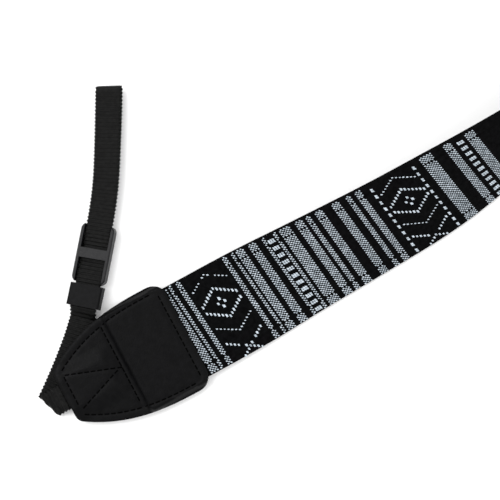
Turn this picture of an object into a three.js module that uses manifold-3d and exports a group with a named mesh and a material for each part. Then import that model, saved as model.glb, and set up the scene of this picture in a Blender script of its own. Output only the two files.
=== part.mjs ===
// Camera neck strap: a woven neck band, a leather tab at each end, and from each tab a narrow webbing
// that passes a keeper and a three-bar slide, loops round a camera's lug and comes back under itself.
// Millimetres, +Z up. The strap lies on z = 0: its ends are flat, and between them the band rises on to
// its outer edge and makes a half turn. Before the last lines move the whole group to its own middle,
// x runs from the tip of the first tab along its straight end, and the half turn goes to the left.
import * as THREE from "three";
import Module from "manifold-3d";

const wasm = await Module();
wasm.setup();

// Driving sizes.
const BAND = { width: 38, thickness: 2, edgeHalf: 0.4, edgeRound: 0.6, length: 600, inTab: 24 };
const TAB = {
  length: 52,
  tipHalf: 10.4,
  wideHalf: 22.2,
  wideAt: 46,
  flare: 2.7,
  tipCorner: 1.5,
  rim: 3.5,
  leather: 1.2,
  slack: 0.2,
  clearance: 0.9,
  shoulder: 1.9,
};
const WEBBING = { width: 10, thickness: 1.05, inTab: 18, foldAt: -6.6, foldRadius: 0.8 };
const LOOP = { radius: 1.3, centre: 122.2, facets: 7 };
const SLIDE = {
  width: 13.4,
  length: 23,
  height: 4,
  corner: 2.4,
  bevel: 0.45,
  window: 10.8,
  endBar: 2.2,
  endBarTop: 0.9,
  midBar: 3.8,
  midBarUnder: 2.75,
  at: 46.2,
};
const KEEPER = { width: 13, height: 4.4, wall: 0.9, length: 8.6, corner: 0.7, at: 37 };

// How the first half of the band lies, from the edge of its tab: heading turns to the left, and roll
// lifts the left edge while the right one stays down.
const BAND_LAY = [
  { s: -24, heading: 0, roll: 0 },
  { s: 0, heading: 0, roll: 0 },
  { s: 20, heading: 0, roll: 8 },
  { s: 50, heading: 0, roll: 25 },
  { s: 80, heading: 0.4, roll: 33 },
  { s: 105, heading: 2.5, roll: 37.5 },
  { s: 131, heading: 6.5, roll: 47 },
  { s: 168, heading: 18, roll: 66 },
  { s: 208, heading: 38, roll: 83 },
  { s: 250, heading: 62, roll: 90 },
];
// Height of the band's right edge near each tab. The first tab lies on its own webbing.
const FIRST_TIP_HEIGHT = 2.2;
const FIRST_TAB_FALL = 0.026;
const betweenLeathers = (x) => FIRST_TIP_HEIGHT - FIRST_TAB_FALL * x + TAB.leather + TAB.slack;
const SECOND_BETWEEN_LEATHERS = TAB.leather + TAB.slack;
const BAND_LIFT = [
  { s: -BAND.inTab, first: betweenLeathers(TAB.length - BAND.inTab), second: SECOND_BETWEEN_LEATHERS },
  { s: 0, first: betweenLeathers(TAB.length), second: SECOND_BETWEEN_LEATHERS },
  { s: 14, first: 1.4, second: 1 },
  { s: 42, first: 0, second: 0 },
];

// Plan of the two webbings from where they lie on the surface to the end of the loop. Roll lifts the
// right edge, and lift is the height of the lowest layer's middle line above the surface.
const FIRST_ROUTE = [
  { s: 0, heading: 38, roll: 0, lift: 0 },
  { s: 18, heading: 41, roll: 0, lift: 0 },
  { s: 32.4, heading: 47.2, roll: 0, lift: 0 },
  { s: 36.6, heading: 50, roll: 11, lift: 1.35 },
  { s: 70, heading: 52, roll: 11, lift: 1.35 },
  { s: 96, heading: 60, roll: 12, lift: 1.3 },
  { s: 126, heading: 61.5, roll: 10, lift: 1 },
];
const SECOND_ROUTE = [
  { s: 0, heading: 180, roll: 0, lift: 0 },
  { s: 126, heading: 180, roll: 0, lift: 0 },
];
const SECOND_ROUTE_START = -9;
// Side view of a webbing: the height of its middle line on the way out and, under that, on the way back.
const WAY_OUT = [
  { s: 0, height: 0.55 },
  { s: 32.4, height: 0.56 },
  { s: 36.9, height: 2.83 },
  { s: 48.6, height: 2.83 },
  { s: 55.2, height: 2.07 },
  { s: 60.2, height: 2.07 },
  { s: 66.8, height: 2.83 },
  { s: 84, height: 3.1 },
  { s: LOOP.centre, height: 3.75 },
];
const WAY_BACK = [
  { s: 34.4, height: 1.58 },
  { s: 48.6, height: 1.58 },
  { s: 55.2, height: 0.82 },
  { s: 60.2, height: 0.82 },
  { s: 66.8, height: 1.58 },
  { s: 84, height: 1.6 },
  { s: LOOP.centre, height: 1.15 },
];

const COLOURS = { band: 0x17181a, leather: 0x101113, webbing: 0x0c0c0d, plastic: 0x222227 };
const material = (colour, roughness) =>
  new THREE.MeshStandardMaterial({ color: colour, roughness, metalness: 0 });
const BAND_CLOTH = material(COLOURS.band, 0.95);
const LEATHER = material(COLOURS.leather, 0.55);
const NYLON = material(COLOURS.webbing, 0.85);
const PLASTIC = material(COLOURS.plastic, 0.45);

const radians = THREE.MathUtils.degToRad;
const smoothstep = THREE.MathUtils.smoothstep;
const steps = (from, to, count) =>
  Array.from({ length: count + 1 }, (_, i) => from + ((to - from) * i) / count);

// The value of one column of a table at s, on a smooth curve through the rows that never overshoots them.
function lookUp(table, column, s) {
  const last = table.length - 1;
  if (s <= table[0].s) return table[0][column];
  if (s >= table[last].s) return table[last][column];
  const slope = (i) => (table[i + 1][column] - table[i][column]) / (table[i + 1].s - table[i].s);
  const tangent = (i) => {
    if (i === 0 || i === last) return 0;
    const [before, after] = [slope(i - 1), slope(i)];
    return before * after <= 0 ? 0 : (2 * before * after) / (before + after);
  };
  const i = table.findIndex((row) => row.s > s) - 1;
  const span = table[i + 1].s - table[i].s;
  const t = (s - table[i].s) / span;
  const [a, b] = [table[i][column], table[i + 1][column]];
  const [from, to] = [tangent(i) * span, tangent(i + 1) * span];
  return a + t * from + t * t * (3 * (b - a) - 2 * from - to) + t * t * t * (2 * (a - b) + from + to);
}

// Points of a plan curve every millimetre from s = from, found by following the heading.
function planCurve(headingAt, from, to, start) {
  const points = [start.clone()];
  for (let s = from; s < to; s += 1) {
    const angle = radians(headingAt(s + 0.5));
    points.push(points.at(-1).clone().add(new THREE.Vector2(Math.cos(angle), Math.sin(angle))));
  }
  return (s) => {
    const i = THREE.MathUtils.clamp(Math.floor(s - from), 0, points.length - 2);
    return points[i].clone().lerp(points[i + 1], s - from - i);
  };
}

// A closed solid of flat section. Each station turns (v, w), across and through, into a point. Each
// column has its place across and half its thickness there.
function ribbon(stations, columns) {
  const positions = [];
  for (const station of stations)
    for (const side of [1, -1])
      for (const { v, half } of columns) positions.push(...station(v, side * half).toArray());
  const n = columns.length;
  const at = (i, side, j) => i * 2 * n + side * n + j;
  const faces = [];
  const quad = (a, b, c, d) => faces.push(a, b, c, a, c, d);
  const last = stations.length - 1;
  for (let i = 0; i < last; i++) {
    for (let j = 0; j < n - 1; j++) {
      quad(at(i, 0, j), at(i, 0, j + 1), at(i + 1, 0, j + 1), at(i + 1, 0, j));
      quad(at(i, 1, j), at(i + 1, 1, j), at(i + 1, 1, j + 1), at(i, 1, j + 1));
    }
    quad(at(i, 0, 0), at(i + 1, 0, 0), at(i + 1, 1, 0), at(i, 1, 0));
    quad(at(i, 0, n - 1), at(i, 1, n - 1), at(i + 1, 1, n - 1), at(i + 1, 0, n - 1));
  }
  for (let j = 0; j < n - 1; j++) {
    quad(at(0, 0, j), at(0, 1, j), at(0, 1, j + 1), at(0, 0, j + 1));
    quad(at(last, 0, j), at(last, 0, j + 1), at(last, 1, j + 1), at(last, 1, j));
  }
  const geometry = new THREE.BufferGeometry();
  geometry.setAttribute("position", new THREE.Float32BufferAttribute(positions, 3));
  geometry.setIndex(faces);
  geometry.computeVertexNormals();
  return geometry;
}

function named(name, geometry, look) {
  const mesh = new THREE.Mesh(geometry, look);
  mesh.name = name;
  return mesh;
}

// --- Neck band -------------------------------------------------------------------------------------

const mirroredLay = BAND_LAY.map(({ s, heading, roll }) => ({
  s: BAND.length - s,
  heading: 180 - heading,
  roll,
})).reverse();
const MIDDLE = { s: BAND.length / 2, heading: 90, roll: 90 };
const WHOLE_LAY = [...BAND_LAY, MIDDLE, ...mirroredLay];
const bandPlan = planCurve(
  (s) => lookUp(WHOLE_LAY, "heading", s),
  -BAND.inTab,
  BAND.length + BAND.inTab,
  new THREE.Vector2(TAB.length - BAND.inTab, 0),
);
const LEG_SPACING = bandPlan(BAND.length + BAND.inTab).y;

function bandStation(s) {
  const heading = radians(lookUp(WHOLE_LAY, "heading", s));
  const roll = radians(lookUp(WHOLE_LAY, "roll", s));
  const lift =
    s < BAND.length / 2 ? lookUp(BAND_LIFT, "first", s) : lookUp(BAND_LIFT, "second", BAND.length - s);
  const { x, y } = bandPlan(s);
  const height = lift + (BAND.width / 2) * Math.sin(roll) + (BAND.thickness / 2) * Math.cos(roll);
  const [cos, sin] = [Math.cos(heading), Math.sin(heading)];
  const left = new THREE.Vector3(-sin * Math.cos(roll), cos * Math.cos(roll), Math.sin(roll));
  const face = new THREE.Vector3(sin * Math.sin(roll), -cos * Math.sin(roll), Math.cos(roll));
  return (v, w) =>
    new THREE.Vector3(x, y, height).addScaledVector(left, -v).addScaledVector(face, w);
}

function neckBand() {
  const half = BAND.width / 2;
  const columns = [
    { v: -half, half: BAND.edgeHalf },
    { v: BAND.edgeRound - half, half: BAND.thickness / 2 },
    { v: half - BAND.edgeRound, half: BAND.thickness / 2 },
    { v: half, half: BAND.edgeHalf },
  ];
  const flat = (from) => [from, from + BAND.inTab];
  const places = [
    ...flat(-BAND.inTab),
    ...steps(0, BAND.length, 100).slice(1, -1),
    ...flat(BAND.length),
  ];
  return named("neck_band", ribbon(places.map(bandStation), columns), BAND_CLOTH);
}

// --- Leather tabs ----------------------------------------------------------------------------------

// Half the tab's width at x from its tip: flaring sides, small corners at the tip, a quarter circle at
// the band's end.
function tabHalf(x) {
  const corner = TAB.length - TAB.wideAt;
  if (x > TAB.wideAt) {
    const past = x - TAB.wideAt;
    return TAB.wideHalf - corner + Math.sqrt(Math.max(0, corner ** 2 - past ** 2));
  }
  const side = TAB.wideHalf - (TAB.wideHalf - TAB.tipHalf) * (1 - x / TAB.wideAt) ** TAB.flare;
  const r = TAB.tipCorner;
  return x < r ? side - r + Math.sqrt(r ** 2 - (r - x) ** 2) : side;
}

// How far the upper leather stands off the lower one: over the band, over the webbing, and nearly
// nothing along the stitched rim.
function tabRise(x, y) {
  const beside = (across, before) => Math.hypot(Math.max(0, across), Math.max(0, before));
  const offBand = beside(Math.abs(y) - BAND.width / 2, TAB.length - BAND.inTab - x);
  const offWebbing = beside(Math.abs(y) - WEBBING.width / 2, x - WEBBING.inTab);
  const fallen = (off) => smoothstep(off - TAB.clearance, 0, TAB.shoulder);
  const overBand = (BAND.thickness + 2 * TAB.slack) * (1 - fallen(offBand));
  const overWebbing = (WEBBING.thickness + TAB.slack) * (1 - fallen(offWebbing));
  return TAB.slack + Math.max(overBand, overWebbing);
}

// Rows of a tab from its tip: close at the corners, and where the upper leather climbs on to the band.
const TAB_ROWS = [
  0,
  0.4,
  TAB.tipCorner,
  ...steps(5, 17, 3),
  ...steps(18, 29, 6),
  ...steps(32, TAB.wideAt, 3),
  ...[0.35, 0.65, 0.78, 0.9, 0.97, 1].map((t) => TAB.wideAt + t * (TAB.length - TAB.wideAt)),
];
// Columns of the upper leather from its middle line: close where it comes off the webbing and the band.
const RISEN_COLUMNS = [0, 5.3, 6.4, 15.8, 18, 19, 20.2, TAB.wideHalf];

function tabLeather(name, rise) {
  const beside = rise ? RISEN_COLUMNS : [TAB.wideHalf];
  const across = [...beside.filter((v) => v > 0).map((v) => -v).reverse(), ...beside];
  const stations = TAB_ROWS.map((x) => (v, w) => {
    const fromRim = TAB.wideHalf - Math.abs(v);
    const inset = fromRim < TAB.rim ? fromRim : TAB.rim + fromRim / 20;
    const y = Math.sign(v) * Math.min(Math.abs(v), tabHalf(x) - inset);
    const under = rise ? TAB.leather + rise(x, y) : 0;
    return new THREE.Vector3(x, -y, under + TAB.leather / 2 + w);
  });
  const columns = across.map((v) => ({ v, half: TAB.leather / 2 }));
  return named(name, ribbon(stations, columns), LEATHER);
}

function tab(end) {
  const group = new THREE.Group();
  group.add(tabLeather(`${end}_tab_back_leather`, null), tabLeather(`${end}_tab_front_leather`, tabRise));
  return group;
}

// --- Webbings --------------------------------------------------------------------------------------

// The frame that a webbing, its keeper and its slide lie in at s along a route.
function routeFrame(route, plan, s) {
  const heading = radians(lookUp(route, "heading", s));
  const roll = radians(lookUp(route, "roll", s));
  const { x, y } = plan(s);
  const along = new THREE.Vector3(Math.cos(heading), Math.sin(heading), 0);
  const left = new THREE.Vector3(
    -Math.sin(heading) * Math.cos(roll),
    Math.cos(heading) * Math.cos(roll),
    -Math.sin(roll),
  );
  const up = along.clone().cross(left);
  return { at: new THREE.Vector3(x, y, lookUp(route, "lift", s)), along, left, up };
}

// Places along a route where a webbing has a station: close where it climbs through keeper and slide.
const BENDS = [...steps(18, 27, 3), ...steps(29, 37, 6), ...steps(47, 69, 13), 78, 88, 99, 111];

// The side view as places, heights and slopes, out to the loop and back to the loose end.
function sideView(from) {
  const stretch = (table, places, back) =>
    places.map((s) => {
      const rise = (lookUp(table, "height", s + 0.1) - lookUp(table, "height", s - 0.1)) / 0.2;
      return { s, height: lookUp(table, "height", s), slope: Math.atan(rise) + (back ? Math.PI : 0) };
    });
  const middle = (WAY_OUT.at(-1).height + WAY_BACK.at(-1).height) / 2;
  const turn = steps(90, -90, LOOP.facets).map((degrees) => {
    const a = radians(degrees);
    return {
      s: LOOP.centre + LOOP.radius * Math.cos(a),
      height: middle + LOOP.radius * Math.sin(a),
      slope: a - Math.PI / 2,
    };
  });
  const out = [from, from + 3, from + 7, 12, ...BENDS].filter((s, i, all) => i === 0 || s > all[i - 1]);
  const back = [WAY_BACK[0].s, ...BENDS.filter((s) => s > WAY_BACK[0].s + 1)].reverse();
  return [...stretch(WAY_OUT, out, false), ...turn, ...stretch(WAY_BACK, back, true)];
}

// Stations of the stretch that a route describes. The side that faces up on the way out has w below 0.
function routeStations(route, plan, from) {
  return sideView(from).map(({ s, height, slope }) => {
    const { at, along, left, up } = routeFrame(route, plan, s);
    const through = along.clone().multiplyScalar(Math.sin(slope)).addScaledVector(up, -Math.cos(slope));
    return (v, w) =>
      at.clone().addScaledVector(up, height).addScaledVector(left, v).addScaledVector(through, w);
  });
}

function webbingColumns(count) {
  return steps(-WEBBING.width / 2, WEBBING.width / 2, count).map((v) => ({
    v,
    half: WEBBING.thickness / 2,
  }));
}

// Height of the first webbing's middle line between the leathers, x from the tip.
const inFirstTab = (x) => betweenLeathers(x) + WEBBING.thickness / 2;

// The first webbing leaves its tab away from the band, folds under itself along a slanting line,
// and lies under the tab's edge on its way to the keeper. unfolded is measured from the fold.
function foldStation(unfolded) {
  const out = radians(FIRST_ROUTE[0].heading);
  const line = new THREE.Vector2(Math.cos((Math.PI + out) / 2), Math.sin((Math.PI + out) / 2));
  const outward = new THREE.Vector2(-line.y, line.x);
  const { foldRadius: r, foldAt } = WEBBING;
  const upper = WAY_OUT[0].height + 2 * r;
  return (v, w) => {
    const flat = new THREE.Vector2(-unfolded, v);
    const past = flat.dot(outward);
    const turned = THREE.MathUtils.clamp(past / r, 0, Math.PI);
    const reach = past <= 0 ? past : r * Math.sin(turned) - Math.max(0, past - Math.PI * r);
    const plan = line.clone().multiplyScalar(flat.dot(line)).addScaledVector(outward, reach);
    plan.addScaledVector(outward, w * Math.sin(turned));
    const x = foldAt + plan.x;
    const [fromFold, toTab] = [Math.max(0, -past - 0.3), Math.max(0, -x - 0.8)];
    const climb = toTab > 0 ? smoothstep(fromFold / (fromFold + toTab), 0, 1) : 1;
    const before = upper + (inFirstTab(Math.max(x, 0)) - upper) * climb;
    const height = before - r * (1 - Math.cos(turned)) + w * Math.cos(turned);
    return new THREE.Vector3(x, plan.y, height);
  };
}

// Where the fold hands over to the route, and how far each route's plan is followed, past its loop.
const FOLD_END = 4.6;
const ROUTE_LENGTH = 130;
const foldEnd = foldStation(FOLD_END)(0, 0);
const firstPlan = planCurve(
  (s) => lookUp(FIRST_ROUTE, "heading", s),
  0,
  ROUTE_LENGTH,
  new THREE.Vector2(foldEnd.x, foldEnd.y),
);
const secondPlan = planCurve(
  () => SECOND_ROUTE[0].heading,
  0,
  ROUTE_LENGTH,
  new THREE.Vector2(SECOND_ROUTE_START, 0),
);

function firstWebbing() {
  const start = WEBBING.foldAt - WEBBING.inTab;
  const folding = [
    ...steps(start, WEBBING.foldAt - 0.5, 3),
    ...steps(WEBBING.foldAt + 0.8, -2.6, 4),
    ...steps(-2, FOLD_END - 0.4, 12),
  ].map(foldStation);
  const stations = [...folding, ...routeStations(FIRST_ROUTE, firstPlan, 0)];
  return named("first_webbing", ribbon(stations, webbingColumns(6)), NYLON);
}

function secondWebbing() {
  const inTab = SECOND_BETWEEN_LEATHERS + WEBBING.thickness / 2;
  const ground = WAY_OUT[0].height;
  const leaving = [WEBBING.inTab, 8, 1, ...steps(-0.5, SECOND_ROUTE_START + 0.5, 4)].map((x) => {
    const height = inTab + (ground - inTab) * smoothstep(-x, 0.5, -SECOND_ROUTE_START);
    return (v, w) => new THREE.Vector3(x, -v, height - w);
  });
  const stations = [...leaving, ...routeStations(SECOND_ROUTE, secondPlan, 0)];
  return named("second_webbing", ribbon(stations, webbingColumns(1)), NYLON);
}

// --- Plastic fittings ------------------------------------------------------------------------------

function roundedRectangle(Outline, width, height, r) {
  const [x, y] = [width / 2, height / 2];
  const outline = new Outline();
  outline.moveTo(x, y - r);
  outline.absarc(x - r, y - r, r, 0, Math.PI / 2);
  outline.absarc(r - x, y - r, r, Math.PI / 2, Math.PI);
  outline.absarc(r - x, r - y, r, Math.PI, 1.5 * Math.PI);
  outline.absarc(x - r, r - y, r, 1.5 * Math.PI, 2 * Math.PI);
  return outline;
}

function asSolid(geometry) {
  const flat = geometry.index ? geometry.toNonIndexed() : geometry;
  const points = flat.getAttribute("position");
  const numbers = new Map();
  const vertices = [];
  const triangles = [];
  for (let i = 0; i < points.count; i++) {
    const point = [points.getX(i), points.getY(i), points.getZ(i)];
    const key = point.map((value) => value.toFixed(4)).join();
    if (!numbers.has(key)) {
      numbers.set(key, numbers.size);
      vertices.push(...point);
    }
    triangles.push(numbers.get(key));
  }
  return new wasm.Manifold(
    new wasm.Mesh({
      numProp: 3,
      vertProperties: new Float32Array(vertices),
      triVerts: new Uint32Array(triangles),
    }),
  );
}

function asGeometry(solid) {
  const { vertProperties, triVerts } = solid.getMesh();
  const geometry = new THREE.BufferGeometry();
  geometry.setAttribute("position", new THREE.BufferAttribute(vertProperties, 3));
  geometry.setIndex(new THREE.BufferAttribute(triVerts, 1));
  geometry.computeVertexNormals();
  return geometry;
}

function block(width, from, to, low, high) {
  const box = new THREE.BoxGeometry(width, to - from, high - low);
  return asSolid(box.translate(0, (from + to) / 2, (low + high) / 2));
}

// The slide in its own frame: x across, y along from the end next to the keeper, z up. The end bars are
// low, so the webbing passes over them, and the middle bar is high, so the webbing passes under it.
function slideGeometry() {
  const { length, height, bevel, corner, window, endBar, endBarTop, midBar } = SLIDE;
  const outline = roundedRectangle(THREE.Shape, SLIDE.width - 2 * bevel, length - 2 * bevel, corner - bevel);
  const plate = new THREE.ExtrudeGeometry(outline, {
    depth: height - 2 * bevel,
    bevelThickness: bevel,
    bevelSize: bevel,
    bevelSegments: 1,
    curveSegments: 4,
  }).translate(0, length / 2, bevel);
  const over = height + 1;
  const solid = asSolid(plate)
    .subtract(block(window, endBar, length - endBar, -1, over))
    .subtract(block(window, -1, length + 1, endBarTop, over))
    .add(block(window + 0.6, (length - midBar) / 2, (length + midBar) / 2, SLIDE.midBarUnder, height));
  return asGeometry(solid);
}

// The keeper in the same frame: a flat ring that the webbing passes through along y.
function keeperGeometry() {
  const { width, height, wall, length, corner } = KEEPER;
  const outline = roundedRectangle(THREE.Shape, width, height, corner);
  outline.holes.push(roundedRectangle(THREE.Path, width - 2 * wall, height - 2 * wall, corner / 2));
  const ring = new THREE.ExtrudeGeometry(outline, { depth: length, bevelEnabled: false, curveSegments: 3 });
  return ring.rotateX(-Math.PI / 2).rotateZ(Math.PI).translate(0, length, height / 2);
}

// Puts a fitting on a route, with its y along the webbing from s.
function fitted(name, geometry, route, plan, s, length) {
  const { at, along, left, up } = routeFrame(route, plan, s + length / 2);
  const mesh = named(name, geometry, PLASTIC);
  const right = left.clone().negate();
  mesh.setRotationFromMatrix(new THREE.Matrix4().makeBasis(right, along, up));
  mesh.position.copy(at).addScaledVector(along, -length / 2);
  return mesh;
}

function fittings(end, route, plan) {
  return [
    fitted(`${end}_keeper`, keeperGeometry(), route, plan, KEEPER.at, KEEPER.length),
    fitted(`${end}_slide`, slideGeometry(), route, plan, SLIDE.at, SLIDE.length),
  ];
}

// --- Assembly --------------------------------------------------------------------------------------

const strap = new THREE.Group();
strap.add(neckBand());

const firstTab = tab("first");
firstTab.rotation.y = Math.atan(FIRST_TAB_FALL);
firstTab.position.z = FIRST_TIP_HEIGHT;
strap.add(firstTab, firstWebbing(), ...fittings("first", FIRST_ROUTE, firstPlan));

const secondEnd = new THREE.Group();
secondEnd.position.y = LEG_SPACING;
secondEnd.add(tab("second"), secondWebbing(), ...fittings("second", SECOND_ROUTE, secondPlan));
strap.add(secondEnd);

// The origin is the middle of the strap's own box, on the surface that it lies on.
const box = new THREE.Box3().setFromObject(strap, true);
strap.position.set(-(box.min.x + box.max.x) / 2, -(box.min.y + box.max.y) / 2, -box.min.z);

export default strap;
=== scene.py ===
# Looks of the camera neck strap: patterned band, leather tabs, ribbed webbing, moulded fittings.
# Lengths are in millimetres from the tip of the first tab, and at() turns them into the frame's metres.
import bpy
import math
import random
from mathutils import Matrix, Vector


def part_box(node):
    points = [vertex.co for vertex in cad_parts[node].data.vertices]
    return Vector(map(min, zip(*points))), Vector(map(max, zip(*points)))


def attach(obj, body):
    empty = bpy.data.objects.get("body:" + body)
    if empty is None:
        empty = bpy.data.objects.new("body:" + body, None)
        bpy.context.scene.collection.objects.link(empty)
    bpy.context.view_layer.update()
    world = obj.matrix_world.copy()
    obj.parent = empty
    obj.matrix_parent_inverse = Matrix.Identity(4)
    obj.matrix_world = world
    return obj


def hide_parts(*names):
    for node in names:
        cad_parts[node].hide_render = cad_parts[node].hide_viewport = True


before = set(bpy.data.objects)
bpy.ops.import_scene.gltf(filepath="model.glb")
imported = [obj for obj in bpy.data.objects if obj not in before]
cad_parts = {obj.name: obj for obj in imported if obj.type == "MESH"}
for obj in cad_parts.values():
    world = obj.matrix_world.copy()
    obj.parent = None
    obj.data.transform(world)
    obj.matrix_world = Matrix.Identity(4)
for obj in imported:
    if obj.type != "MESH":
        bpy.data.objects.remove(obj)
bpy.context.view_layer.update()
tab_low, tab_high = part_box("second_tab_back_leather")
SECOND_Y = 500 * (tab_low[1] + tab_high[1])
ORIGIN = Vector((1000 * tab_low[0], -SECOND_Y, 0))
SPACING = 2 * SECOND_Y

# Driving sizes.
BAND_HALF, BAND_THICK, BAND_LENGTH, BAND_IN_TAB = 19.0, 1.0, 600.0, 24.0
HEM = 4.1
LEATHER, SLACK = 1.2, 0.2
TAB_LENGTH, TIP_HALF, WIDE_HALF, WIDE_AT, FLARE, TIP_CORNER = 52.0, 10.4, 22.2, 46.0, 2.7, 1.5
TIP_HEIGHT, TAB_FALL = 2.2, 0.026
SEAM_INSET = 3.2
WEB_HALF, WEB_THICK, WEB_IN_TAB = 5.0, 0.48, 18.0
WEB_LAYER = 1.05
FOLD_AT, FOLD_RADIUS, FOLD_END = -6.6, 0.8, 4.6
LOOP_AT, LOOP_RADIUS = 122.2, 1.3
RIB, RIB_DEPTH, SCALLOP = 1.46, 0.42, 0.24
SECOND_ROUTE_START = -9.0
ROUTE_LENGTH = 130

# How the band, the webbings' plans and their side views run: each row starts with its distance s.
LAY = {"heading": [(-24, 0), (50, 0), (80, 0.4), (105, 2.5), (131, 6.5), (168, 18), (208, 38), (250, 62)],
       "roll": [(-24, 0), (0, 0), (20, 8), (50, 25), (80, 33), (105, 37.5), (131, 47), (168, 66),
                (208, 83), (250, 90)]}
ROUTE = {"heading": [(0, 38), (18, 41), (32.4, 47.2), (36.6, 50), (70, 52), (96, 60), (126, 61.5)],
         "roll": [(0, 0), (32.4, 0), (36.6, 11), (70, 11), (96, 12), (126, 10)],
         "lift": [(0, 0), (32.4, 0), (36.6, 1.35), (70, 1.35), (96, 1.3), (126, 1)]}
STRAIGHT = {"heading": [(0, 180), (126, 180)], "roll": [(0, 0), (126, 0)], "lift": [(0, 0), (126, 0)]}
WAY_OUT = [(0, 0.55), (32.4, 0.56), (36.9, 2.83), (48.6, 2.83), (55.2, 2.07), (60.2, 2.07), (66.8, 2.83),
           (84, 3.1), (LOOP_AT, 3.75)]
WAY_BACK = [(34.4, 1.58), (48.6, 1.58), (55.2, 0.82), (60.2, 0.82), (66.8, 1.58), (84, 1.6),
            (LOOP_AT, 1.15)]

# The woven repeat, charted outwards from the middle of a diamond panel: start, width and kind. It
# runs forwards and then backwards, half a repeat each way, drawn in a little along the cloth.
STRIPES = [(9.4, 2.3, "weave"), (13.5, 1.3, "weave"), (15.7, 3.3, "weave"), (21.0, 3.5, "weave"),
           (27.1, 1.1, "weave"), (28.7, 2.7, "bars"), (32.1, 1.1, "weave"), (34.5, 4.7, "weave"),
           (41.5, 3.2, "weave"), (46.3, 1.7, "weave"), (50.3, 3.2, "weave"), (57.6, 3.2, "weave"),
           (63.8, 2.1, "weave"), (67.9, 2.4, "weave"), (73.7, 1.1, "bars"), (92.5, 1.1, "bars"),
           (96.5, 5.6, "weave"), (107.0, 3.4, "weave"), (112.2, 2.7, "bars"), (116.4, 4.0, "weave")]
REPEAT_HALF = 122.0
DRAW_IN = 0.965
FIRST_PANEL_AT = 17.6
# The diamond panels: place along the repeat, and the height of the middle across the cloth.
PANELS = [(0.0, -3.6), (83.8, -4.2)]
# A panel's lines: height at the middle, slope, half a float's height.
FIGURES = [(6.2, -0.67, 0.62), (12.5, -0.6, 0.26), (19.8, -0.66, 0.5), (19.8, 0.66, 0.5)]
FIGURE_PITCH = 1.2
# A diamond's four dots, from its middle, and half of each float's size along and across.
DOTS = [(0, 1.7), (0, -1.7), (1.4, 0), (-1.4, 0)]
DOT_HALF = (0.5, 0.6)
LINE_FLOAT = 0.36
YARN_ALONG, YARN_ACROSS = 0.64, 0.58
WEAVE_HALF = (0.31, 0.26)
BAR = 3.3
YARN_HEIGHT = 0.12
# Seam grooves and stitches on the tabs.
GROOVE_DEPTH, GROOVE_REACH = 0.2, 0.6
STITCH_PITCH, STITCH_SUNK = 2.5, 0.18
# The camera: its angles in degrees, the floor direction that is up in its view, its distance in metres
# and the point it looks at in millimetres.
ELEVATION, VIEW_ANGLE = 85, 21.9
PAGE_UP = Vector((0.474, 0.880, 0))
DISTANCE = 0.5
AIM = (88.4, 16.4, 0)


def look_up(rows, s):
    """The value at s on a smooth curve through the rows that never overshoots them."""
    if s <= rows[0][0]:
        return rows[0][1]
    if s >= rows[-1][0]:
        return rows[-1][1]
    slopes = [(b[1] - a[1]) / (b[0] - a[0]) for a, b in zip(rows, rows[1:])]
    tangents = [0.0]
    for before, after in zip(slopes, slopes[1:]):
        tangents.append(0.0 if before * after <= 0 else 2 * before * after / (before + after))
    tangents.append(0.0)
    i = next(k for k in range(len(slopes)) if rows[k + 1][0] > s)
    span = rows[i + 1][0] - rows[i][0]
    t = (s - rows[i][0]) / span
    a, b = rows[i][1], rows[i + 1][1]
    m, n = tangents[i] * span, tangents[i + 1] * span
    return a + t * m + t * t * (3 * (b - a) - 2 * m - n) + t ** 3 * (2 * (a - b) + m + n)


def smooth(t):
    t = min(1.0, max(0.0, t))
    return t * t * (3 - 2 * t)


def plan_curve(rows, start, end, first):
    """A function from s to the plan point and heading, followed in steps of 1 mm."""
    points = [Vector(first)]
    for k in range(int(end - start)):
        angle = math.radians(look_up(rows, start + k + 0.5))
        points.append(points[-1] + Vector((math.cos(angle), math.sin(angle))))

    def place(s):
        k = min(max(int(s - start), 0), len(points) - 2)
        return points[k].lerp(points[k + 1], s - start - k)
    return place


def at(p):
    return (Vector(p) + ORIGIN) / 1000


def make_piece(name, vertices, faces, material, slot, node=None, crease=35):
    mesh = bpy.data.meshes.new(name)
    mesh.from_pydata([at(v) for v in vertices], [], faces)
    mesh.materials.append(material)
    mesh.shade_smooth()
    mesh.set_sharp_from_angle(angle=math.radians(crease))
    piece = bpy.data.objects.new(name, mesh)
    bpy.context.scene.collection.objects.link(piece)
    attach(piece, "root")
    if node:
        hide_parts(node)
    return piece


def strip(stations, columns):
    """Vertices and faces of a closed strip: upper side, lower side, rims and ends."""
    n = len(columns(0))
    vertices = [station(v, side * half) for i, station in enumerate(stations)
                for side in (1, -1) for v, half in columns(i)]

    def k(i, side, j):
        return (2 * i + side) * n + j
    faces = []
    for i in range(len(stations) - 1):
        for j in range(n - 1):
            faces.append((k(i, 0, j), k(i, 0, j + 1), k(i + 1, 0, j + 1), k(i + 1, 0, j)))
            faces.append((k(i, 1, j), k(i + 1, 1, j), k(i + 1, 1, j + 1), k(i, 1, j + 1)))
        faces.append((k(i, 0, 0), k(i + 1, 0, 0), k(i + 1, 1, 0), k(i, 1, 0)))
        faces.append((k(i, 0, n - 1), k(i, 1, n - 1), k(i + 1, 1, n - 1), k(i + 1, 0, n - 1)))
    last = len(stations) - 1
    for j in range(n - 1):
        faces.append((k(0, 0, j), k(0, 1, j), k(0, 1, j + 1), k(0, 0, j + 1)))
        faces.append((k(last, 0, j), k(last, 0, j + 1), k(last, 1, j + 1), k(last, 1, j)))
    return vertices, faces


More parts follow.
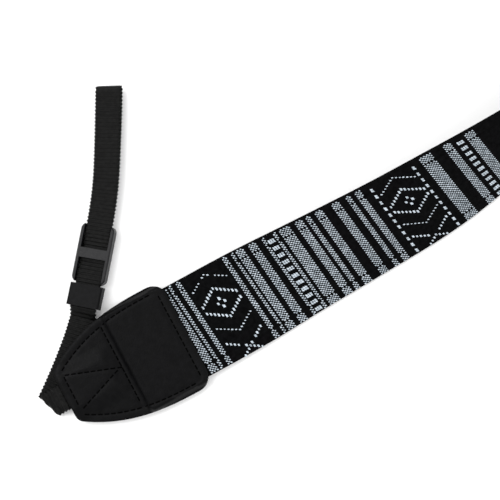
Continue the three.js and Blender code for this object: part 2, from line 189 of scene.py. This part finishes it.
def pillows(places):
    """Joined small closed pillows. Each place is a middle and three half axes, the last one upwards."""
    vertices, faces = [], []
    signs = [(-1, -1), (1, -1), (1, 1), (-1, 1)]
    for middle, along, across, up in places:
        k = len(vertices)
        vertices += [middle + a * along + b * across for a, b in signs]
        vertices += [middle + 0.6 * (a * along + b * across) + up for a, b in signs]
        faces.append((k + 3, k + 2, k + 1, k))
        faces.append((k + 4, k + 5, k + 6, k + 7))
        faces += [(k + a, k + (a + 1) % 4, k + 4 + (a + 1) % 4, k + 4 + a) for a in range(4)]
    return vertices, faces


# --- Materials -------------------------------------------------------------------------------------

# How much coarser the colour wanders than the grain, and the bump's depth in metres.
CLUMPS = 0.25
BUMP_DEPTH = 0.0002


def cloth_material(name, dark, light, roughness, grain, bump, shine):
    """A finish whose colour wanders between two tones, with a fine grain in its bump and roughness."""
    material = bpy.data.materials.new(name)
    material.use_nodes = True
    nodes, links = material.node_tree.nodes, material.node_tree.links
    shader = nodes["Principled BSDF"]
    place = nodes.new("ShaderNodeTexCoord")

    def noise(scale, detail):
        node = nodes.new("ShaderNodeTexNoise")
        node.inputs["Scale"].default_value = scale
        node.inputs["Detail"].default_value = detail
        links.new(place.outputs["Object"], node.inputs["Vector"])
        return node.outputs["Fac"]

    def spread(value, low, high):
        node = nodes.new("ShaderNodeMapRange")
        node.inputs["From Min"].default_value = 0.3
        node.inputs["From Max"].default_value = 0.7
        node.inputs["To Min"].default_value = low
        node.inputs["To Max"].default_value = high
        links.new(value, node.inputs["Value"])
        return node.outputs["Result"]
    fine, coarse = noise(grain, 3), noise(grain * CLUMPS, 2)
    tone = nodes.new("ShaderNodeMix")
    tone.data_type = "RGBA"
    tone.inputs["A"].default_value = (*dark, 1)
    tone.inputs["B"].default_value = (*light, 1)
    links.new(spread(coarse, 0, 1), tone.inputs["Factor"])
    links.new(tone.outputs["Result"], shader.inputs["Base Color"])
    links.new(spread(fine, roughness - 0.08, roughness + 0.08), shader.inputs["Roughness"])
    relief = nodes.new("ShaderNodeBump")
    relief.inputs["Strength"].default_value = bump
    relief.inputs["Distance"].default_value = BUMP_DEPTH
    links.new(fine, relief.inputs["Height"])
    links.new(relief.outputs["Normal"], shader.inputs["Normal"])
    shader.inputs["Specular IOR Level"].default_value = shine
    return material


GROUND = cloth_material("band_ground", (0.0015, 0.0015, 0.0016), (0.0035, 0.0035, 0.0038),
                        roughness=0.9, grain=2600, bump=0.9, shine=0.02)
YARN = cloth_material("pale_yarn", (0.3, 0.35, 0.39), (0.56, 0.62, 0.68),
                      roughness=0.85, grain=3800, bump=0.5, shine=0.2)
HIDE = cloth_material("leather", (0.0016, 0.0016, 0.0018), (0.003, 0.003, 0.0033),
                      roughness=0.42, grain=1700, bump=0.35, shine=0.055)
EDGE = cloth_material("thread", (0.0006, 0.0006, 0.0006), (0.002, 0.002, 0.002),
                      roughness=0.9, grain=4000, bump=0.5, shine=0.0)
NYLON = cloth_material("nylon", (0.0007, 0.0007, 0.0007), (0.0045, 0.0045, 0.0042),
                       roughness=0.4, grain=3200, bump=0.9, shine=0.09)
PLASTIC = cloth_material("plastic", (0.0025, 0.0025, 0.0032), (0.0045, 0.0045, 0.0055),
                         roughness=0.34, grain=2400, bump=0.12, shine=0.13)
DARK_PLASTIC = cloth_material("dark_plastic", (0.002, 0.002, 0.0022), (0.0035, 0.0035, 0.004),
                              roughness=0.42, grain=2400, bump=0.15, shine=0.05)


# --- Neck band -------------------------------------------------------------------------------------

def whole(rows, mirror):
    back = [(BAND_LENGTH - s, mirror(value)) for s, value in reversed(rows)]
    return rows + [(BAND_LENGTH / 2, 90)] + back


BAND_HEADING = whole(LAY["heading"], lambda a: 180 - a)
BAND_ROLL = whole(LAY["roll"], lambda a: a)
band_plan = plan_curve(BAND_HEADING, -BAND_IN_TAB, BAND_LENGTH + BAND_IN_TAB, (TAB_LENGTH - BAND_IN_TAB, 0))


def between_leathers(x):
    return TIP_HEIGHT - TAB_FALL * x + LEATHER + SLACK


SECOND_INSIDE = LEATHER + SLACK
FIRST_LIFT = [(-BAND_IN_TAB, between_leathers(TAB_LENGTH - BAND_IN_TAB)), (0, between_leathers(TAB_LENGTH)),
              (14, 1.4), (42, 0)]
SECOND_LIFT = [(-BAND_IN_TAB, SECOND_INSIDE), (0, SECOND_INSIDE), (14, 1), (42, 0)]


def band_frame(s):
    heading = math.radians(look_up(BAND_HEADING, s))
    roll = math.radians(look_up(BAND_ROLL, s))
    first = s < BAND_LENGTH / 2
    lift = look_up(FIRST_LIFT, s) if first else look_up(SECOND_LIFT, BAND_LENGTH - s)
    height = lift + BAND_HALF * math.sin(roll) + BAND_THICK * math.cos(roll)
    cos, sin = math.cos(heading), math.sin(heading)
    plan = band_plan(s)
    middle = Vector((plan.x, plan.y, height))
    left = Vector((-sin * math.cos(roll), cos * math.cos(roll), math.sin(roll)))
    face = Vector((sin * math.sin(roll), -cos * math.sin(roll), math.cos(roll)))
    return middle, Vector((cos, sin, 0)), left, face


def band_half_thickness(v):
    """Half the band's thickness at v: rounded turned edges, and a shallow valley along each hem's seam."""
    edge = BAND_HALF - abs(v)
    rounded = math.sqrt(max(0.0, 1 - (1 - min(1.0, edge / 0.8)) ** 2))
    valley = 0.2 * math.exp(-((edge - HEM) / 0.35) ** 2)
    return 0.35 + (BAND_THICK - 0.4) * rounded - valley


def neck_band():
    half = [0, 3, 6, 9, 12, 14, 14.5, 14.9, 15.3, 15.8, 17, 18.1, 18.5, 18.8, 19]
    across = [-v for v in reversed(half[1:])] + half
    columns = [(v, band_half_thickness(v)) for v in across]
    count = 420
    total = BAND_LENGTH + 2 * BAND_IN_TAB
    stations = []
    for i in range(count + 1):
        middle, _, left, face = band_frame(total * i / count - BAND_IN_TAB)
        stations.append(lambda v, w, m=middle, l=left, f=face: m - v * l + w * f)
    return make_piece("woven_band", *strip(stations, lambda i: columns), GROUND, "woven_band", "neck_band")


def weave(middle, width):
    """Short floats in a checker, in columns across a stripe of the cloth."""
    count = max(1, round(width / YARN_ALONG))
    rows = int(2 * BAND_HALF / YARN_ACROSS)
    for c in range(count):
        u = middle + (c - (count - 1) / 2) * YARN_ALONG
        for row in range(1, rows):
            if (row + c) % 2 == 0:
                yield u, (row - rows / 2) * YARN_ACROSS, *WEAVE_HALF


def bars(middle, width):
    """Blocks of side by side floats, as far apart as they are tall."""
    count = max(1, round(width / 0.9))
    for k in range(-6, 7):
        for c in range(count):
            u = middle + (c - (count - 1) / 2) * width / count
            for v in (k * BAR - 0.42, k * BAR + 0.42):
                yield u, v + 0.6, 0.47 * width / count, 0.39


def panel(middle, height):
    """A diamond round four dots, and beyond it a thin chevron and a thick cross on each side."""
    for k in range(-6, 7):
        u = k * FIGURE_PITCH
        for top, slope, half in FIGURES:
            for side in (1, -1):
                yield middle + u, height + side * (top + slope * abs(u)), LINE_FLOAT, half
    for u, v in DOTS:
        yield middle + u, height + v, *DOT_HALF


def chart():
    """Every pale float: its place along and across the cloth, and its half sizes."""
    floats = []
    for n in range(-1, 4):
        start = FIRST_PANEL_AT + 2 * REPEAT_HALF * n
        for turn in (1, -1):
            for near, width, kind in STRIPES:
                make = bars if kind == "bars" else weave
                floats += make(start + turn * DRAW_IN * (near + width / 2), DRAW_IN * width)
            for away, height in PANELS[(turn < 0):]:
                floats += panel(start + turn * DRAW_IN * away, height)
    return floats


def skew(s):
    """How far the weft leans from square, as a slope."""
    along = min(s, BAND_LENGTH - s)
    return math.tan(math.radians(5 + 7 * smooth(along / 120) - 4 * smooth((along - 150) / 100)))


def yarn_floats():
    chance = random.Random(11)
    places = []
    for u, v, half_along, half_across in chart():
        slope = skew(u)
        s = u + v * slope
        on_seam = abs(BAND_HALF - HEM - abs(v)) < 0.3
        if on_seam or abs(v) > BAND_HALF - 0.4 or not 0.3 < s < BAND_LENGTH - 0.3:
            continue
        middle, along, left, face = band_frame(s)
        grow = 1 + 0.15 * chance.uniform(-1, 1)
        low = middle - v * left + (band_half_thickness(v) - 0.03) * face
        across = (slope * along - left).normalized()
        lean = 0.3 * across
        places.append((low, half_along * grow * (along + lean), half_across * grow * across,
                       YARN_HEIGHT * face))
    return make_piece("pale_yarns", *pillows(places), YARN, "woven_band", crease=70)


# --- Leather tabs ----------------------------------------------------------------------------------

def tab_half(x):
    corner = TAB_LENGTH - WIDE_AT
    if x > WIDE_AT:
        return WIDE_HALF - corner + math.sqrt(max(0.0, corner ** 2 - (x - WIDE_AT) ** 2))
    side = WIDE_HALF - (WIDE_HALF - TIP_HALF) * (1 - x / WIDE_AT) ** FLARE
    r = TIP_CORNER
    return side - r + math.sqrt(r * r - (r - x) ** 2) if x < r else side


def tab_rise(x, y):
    """How far the upper leather stands off the lower one over the band's end and the webbing's."""
    def off(across, before):
        return math.hypot(max(0.0, across), max(0.0, before))
    off_band = off(abs(y) - BAND_HALF, TAB_LENGTH - BAND_IN_TAB - x)
    off_web = off(abs(y) - WEB_HALF, x - WEB_IN_TAB)
    over_band = (2 * BAND_THICK + 2 * SLACK) * (1 - smooth((off_band - 0.9) / 1.9))
    over_web = (WEB_LAYER + SLACK) * (1 - smooth((off_web - 0.4) / 6.5))
    return SLACK + max(over_band, over_web)


CROSS_AT = TAB_LENGTH - 28
SEAMS = [[(CROSS_AT, 17.4), (CROSS_AT, -17.4)], [(3.2, 7.4), (CROSS_AT - 0.6, 0), (3.2, -7.4)],
         [(3, 7.2), (3, -7.2)], [(TAB_LENGTH - 3.1, 17.5), (TAB_LENGTH - 3.1, -17.5)]]
for edge in (1, -1):
    SEAMS.append([(x, edge * (tab_half(x) - SEAM_INSET)) for x in [3 + 1.5 * k for k in range(31)]])


def stitch_marks():
    """The middle and direction of each stitch along the seams, in the tab's plan."""
    marks = []
    for seam in SEAMS:
        lengths = [0.0]
        for a, b in zip(seam, seam[1:]):
            lengths.append(lengths[-1] + math.dist(a, b))
        for k in range(int(lengths[-1] / STITCH_PITCH)):
            s = (k + 0.5) * STITCH_PITCH
            i = next(n for n in range(len(seam) - 1) if lengths[n + 1] >= s)
            a, b = Vector(seam[i]), Vector(seam[i + 1])
            marks.append((a.lerp(b, (s - lengths[i]) / (lengths[i + 1] - lengths[i])), (b - a).normalized()))
    return marks


STITCHES = stitch_marks()


def seam_groove(x, y):
    nearest = 9.0
    for seam in SEAMS:
        for a, b in zip(seam, seam[1:]):
            run = (b[0] - a[0], b[1] - a[1])
            t = ((x - a[0]) * run[0] + (y - a[1]) * run[1]) / (run[0] ** 2 + run[1] ** 2)
            t = min(1.0, max(0.0, t))
            nearest = min(nearest, math.hypot(x - a[0] - t * run[0], y - a[1] - t * run[1]))
    return GROOVE_DEPTH * math.exp(-(nearest / GROOVE_REACH) ** 2)


def in_first_tab(x, y, z):
    cos, sin = math.cos(math.atan(TAB_FALL)), math.sin(math.atan(TAB_FALL))
    return Vector((x * cos + z * sin, y, TIP_HEIGHT - x * sin + z * cos))


def in_second_tab(x, y, z):
    return Vector((x, y + SPACING, z))


def tab_leather(end, layer, place):
    front = layer == "front"
    rows = [0, 0.2, 0.6, 1.1] + [1.6 + 0.62 * k for k in range(72)]
    rows += [WIDE_AT + (TAB_LENGTH - WIDE_AT) * math.sin(math.pi * k / 20) for k in range(1, 11)]
    across = [math.sin(math.pi * k / 60) * 0.35 + 0.65 * k / 30 for k in range(-30, 31)]
    stations = []
    for x in rows:
        def station(v, w, x=x):
            y = v * tab_half(x)
            rim = min(tab_half(x) - abs(y), x, TAB_LENGTH - x)
            tuck = 0.3 * (1 - smooth(rim / 0.7))
            under = LEATHER + tab_rise(x, y) if front else 0.0
            dent = seam_groove(x, y) if front and w > 0 else 0.0
            return place(x, -y, under + LEATHER / 2 + w - math.copysign(tuck, w) - dent)
        stations.append(station)
    columns = [(v, LEATHER / 2) for v in across]
    piece = strip(stations, lambda i: columns)
    make_piece(f"{end}_leather_{layer}", *piece, HIDE, "leather", f"{end}_tab_{layer}_leather", crease=50)


def tab_stitches(end, place):
    places = []
    for middle, run in STITCHES:
        height = 2 * LEATHER + tab_rise(middle.x, middle.y) - STITCH_SUNK
        here = place(middle.x, middle.y, height)
        ahead = place(middle.x + run.x, middle.y + run.y,
                      2 * LEATHER + tab_rise(middle.x + run.x, middle.y + run.y) - STITCH_SUNK)
        along = (ahead - here).normalized()
        up = (place(middle.x, middle.y, height + 1) - here).normalized()
        places.append((here, 0.95 * along, 0.27 * along.cross(up), 0.26 * up))
    make_piece(f"{end}_tab_stitches", *pillows(places), EDGE, "leather", crease=70)


# --- Webbings --------------------------------------------------------------------------------------

def route_frame(route, plan, s):
    heading, roll = math.radians(look_up(route["heading"], s)), math.radians(look_up(route["roll"], s))
    where = plan(s)
    along = Vector((math.cos(heading), math.sin(heading), 0))
    left = Vector((-along.y * math.cos(roll), along.x * math.cos(roll), -math.sin(roll)))
    return Vector((where.x, where.y, look_up(route["lift"], s))), along, left, along.cross(left)


def side_view():
    """Places, heights and slopes of a webbing: out, round the loop and back under itself."""
    def slope(rows, s):
        return math.atan((look_up(rows, s + 0.1) - look_up(rows, s - 0.1)) / 0.2)
    step = RIB / 4
    out = [(k * step, look_up(WAY_OUT, k * step), slope(WAY_OUT, k * step))
           for k in range(int(LOOP_AT / step))]
    middle = (WAY_OUT[-1][1] + WAY_BACK[-1][1]) / 2
    turn = []
    for k in range(12):
        a = math.pi / 2 - math.pi * k / 11
        turn.append((LOOP_AT + LOOP_RADIUS * math.cos(a), middle + LOOP_RADIUS * math.sin(a),
                     a - math.pi / 2))
    back = []
    s = LOOP_AT - step
    while s > WAY_BACK[0][0]:
        back.append((s, look_up(WAY_BACK, s), slope(WAY_BACK, s) + math.pi))
        s -= step
    return out + turn + back


def route_stations(route, plan):
    stations = []
    for s, height, slope in side_view():
        where, along, left, up = route_frame(route, plan, s)
        through = along * math.sin(slope) - up * math.cos(slope)
        middle = where + height * up
        stations.append(lambda v, w, m=middle, l=left, t=through: m + v * l + w * t)
    return stations


def fold_station(unfolded):
    """The first webbing between its tab and the surface, folded under itself on a slanting line."""
    slant = (math.pi + math.radians(ROUTE["heading"][0][1])) / 2
    line = Vector((math.cos(slant), math.sin(slant)))
    outward = Vector((-line.y, line.x))
    upper = WAY_OUT[0][1] + 2 * FOLD_RADIUS

    def station(v, w):
        flat = Vector((-unfolded, v))
        past = flat.dot(outward)
        turned = min(math.pi, max(0.0, past / FOLD_RADIUS))
        beyond = max(0.0, past - math.pi * FOLD_RADIUS)
        reach = past if past <= 0 else FOLD_RADIUS * math.sin(turned) - beyond
        plan = line * flat.dot(line) + outward * (reach + w * math.sin(turned))
        x = FOLD_AT + plan.x
        from_fold, to_tab = max(0.0, -past - 0.3), max(0.0, -x - 0.8)
        climb = smooth(from_fold / (from_fold + to_tab)) if to_tab > 0 else 1.0
        inside = between_leathers(max(x, 0)) + WEB_LAYER / 2
        before = upper + (inside - upper) * climb
        height = before - FOLD_RADIUS * (1 - math.cos(turned)) + w * math.cos(turned)
        return Vector((x, plan.y, height))
    return station


def webbing(name, leaving, route, plan, node):
    stations = leaving + route_stations(route, plan)
    across = [-1, -0.96, -0.9] + [k / 10 for k in range(-8, 9)] + [0.9, 0.96, 1]

    def columns(i):
        wave = math.cos(math.pi * i / 2)
        row = []
        for v in across:
            rim = smooth((1 - abs(v)) / 0.12)
            strand = 0.1 * (round(10 * v) % 2)
            half = WEB_THICK - RIB_DEPTH / 2 * (1 - wave) - 0.2 * (1 - rim) - strand
            row.append((v * (WEB_HALF + SCALLOP * wave * (abs(v) > 0.9)), half))
        return row
    make_piece(name, *strip(stations, columns), NYLON, "webbing", node, crease=80)


def webbings():
    fold_end = fold_station(FOLD_END)(0, 0)
    first_plan = plan_curve(ROUTE["heading"], 0, ROUTE_LENGTH, (fold_end.x, fold_end.y))
    second_plan = plan_curve(STRAIGHT["heading"], 0, ROUTE_LENGTH, (SECOND_ROUTE_START, SPACING))
    start = FOLD_AT - WEB_IN_TAB
    count = int((FOLD_END - start) / (RIB / 4))
    folding = [fold_station(start + (FOLD_END - 0.2 - start) * k / count) for k in range(count)]
    webbing("first_nylon", folding, ROUTE, first_plan, "first_webbing")
    inside, ground = SECOND_INSIDE + WEB_LAYER / 2, WAY_OUT[0][1]
    leaving = []
    x = WEB_IN_TAB
    while x > SECOND_ROUTE_START + 0.2:
        height = inside + (ground - inside) * smooth((-x - 0.5) / (-SECOND_ROUTE_START - 0.5))
        leaving.append(lambda v, w, x=x, h=height: Vector((x, SPACING - v, h - w)))
        x -= RIB / 4
    webbing("second_nylon", leaving, STRAIGHT, second_plan, "second_webbing")


# --- The strap -------------------------------------------------------------------------------------

band = neck_band()
yarns = yarn_floats()
for end, place in (("first", in_first_tab), ("second", in_second_tab)):
    tab_leather(end, "front", place)
    tab_leather(end, "back", place)
    tab_stitches(end, place)
webbings()
for end in ("first", "second"):
    for fitting, finish in (("keeper", DARK_PLASTIC), ("slide", PLASTIC)):
        for spot in bpy.data.objects[f"{end}_{fitting}"].material_slots:
            spot.material = finish


# --- Stage -----------------------------------------------------------------------------------------

def floor():
    mesh = bpy.data.meshes.new("floor")
    corners = [(-3, -3, 0), (3, -3, 0), (3, 3, 0), (-3, 3, 0)]
    mesh.from_pydata(corners, [], [(0, 1, 2, 3)])
    mesh.materials.append(cloth_material("floor", (0.93, 0.93, 0.93), (0.96, 0.96, 0.96), 0.9, 2, 0.0, 0.0))
    plane = bpy.data.objects.new("floor", mesh)
    bpy.context.scene.collection.objects.link(plane)


def camera():
    elevation = math.radians(ELEVATION)
    back = Vector((0, 0, math.sin(elevation))) - PAGE_UP * math.cos(elevation)
    right = PAGE_UP.cross(back).normalized()
    data = bpy.data.cameras.new("camera")
    data.angle = math.radians(VIEW_ANGLE)
    seen = bpy.data.objects.new("camera", data)
    bpy.context.scene.collection.objects.link(seen)
    turn = Matrix((right, back.cross(right), back)).transposed().to_4x4()
    seen.matrix_world = Matrix.Translation(at(AIM) + DISTANCE * back) @ turn
    bpy.context.scene.camera = seen


def light(name, where, size, power):
    data = bpy.data.lights.new(name, "AREA")
    data.size = size
    data.energy = power
    lamp = bpy.data.objects.new(name, data)
    bpy.context.scene.collection.objects.link(lamp)
    lamp.location = where
    lamp.rotation_euler = (-Vector(where)).to_track_quat("-Z", "Y").to_euler()


floor()
camera()
light("overhead", (-0.5, 0.6, 1.3), 0.9, 14)
light("side", (1.1, -0.6, 0.9), 0.7, 5)
world = bpy.data.worlds.new("studio")
world.use_nodes = True
world.node_tree.nodes["Background"].inputs["Color"].default_value = (1, 1, 1, 1)
world.node_tree.nodes["Background"].inputs["Strength"].default_value = 1.1
bpy.context.scene.world = world
bpy.context.scene.view_settings.view_transform = "Standard"
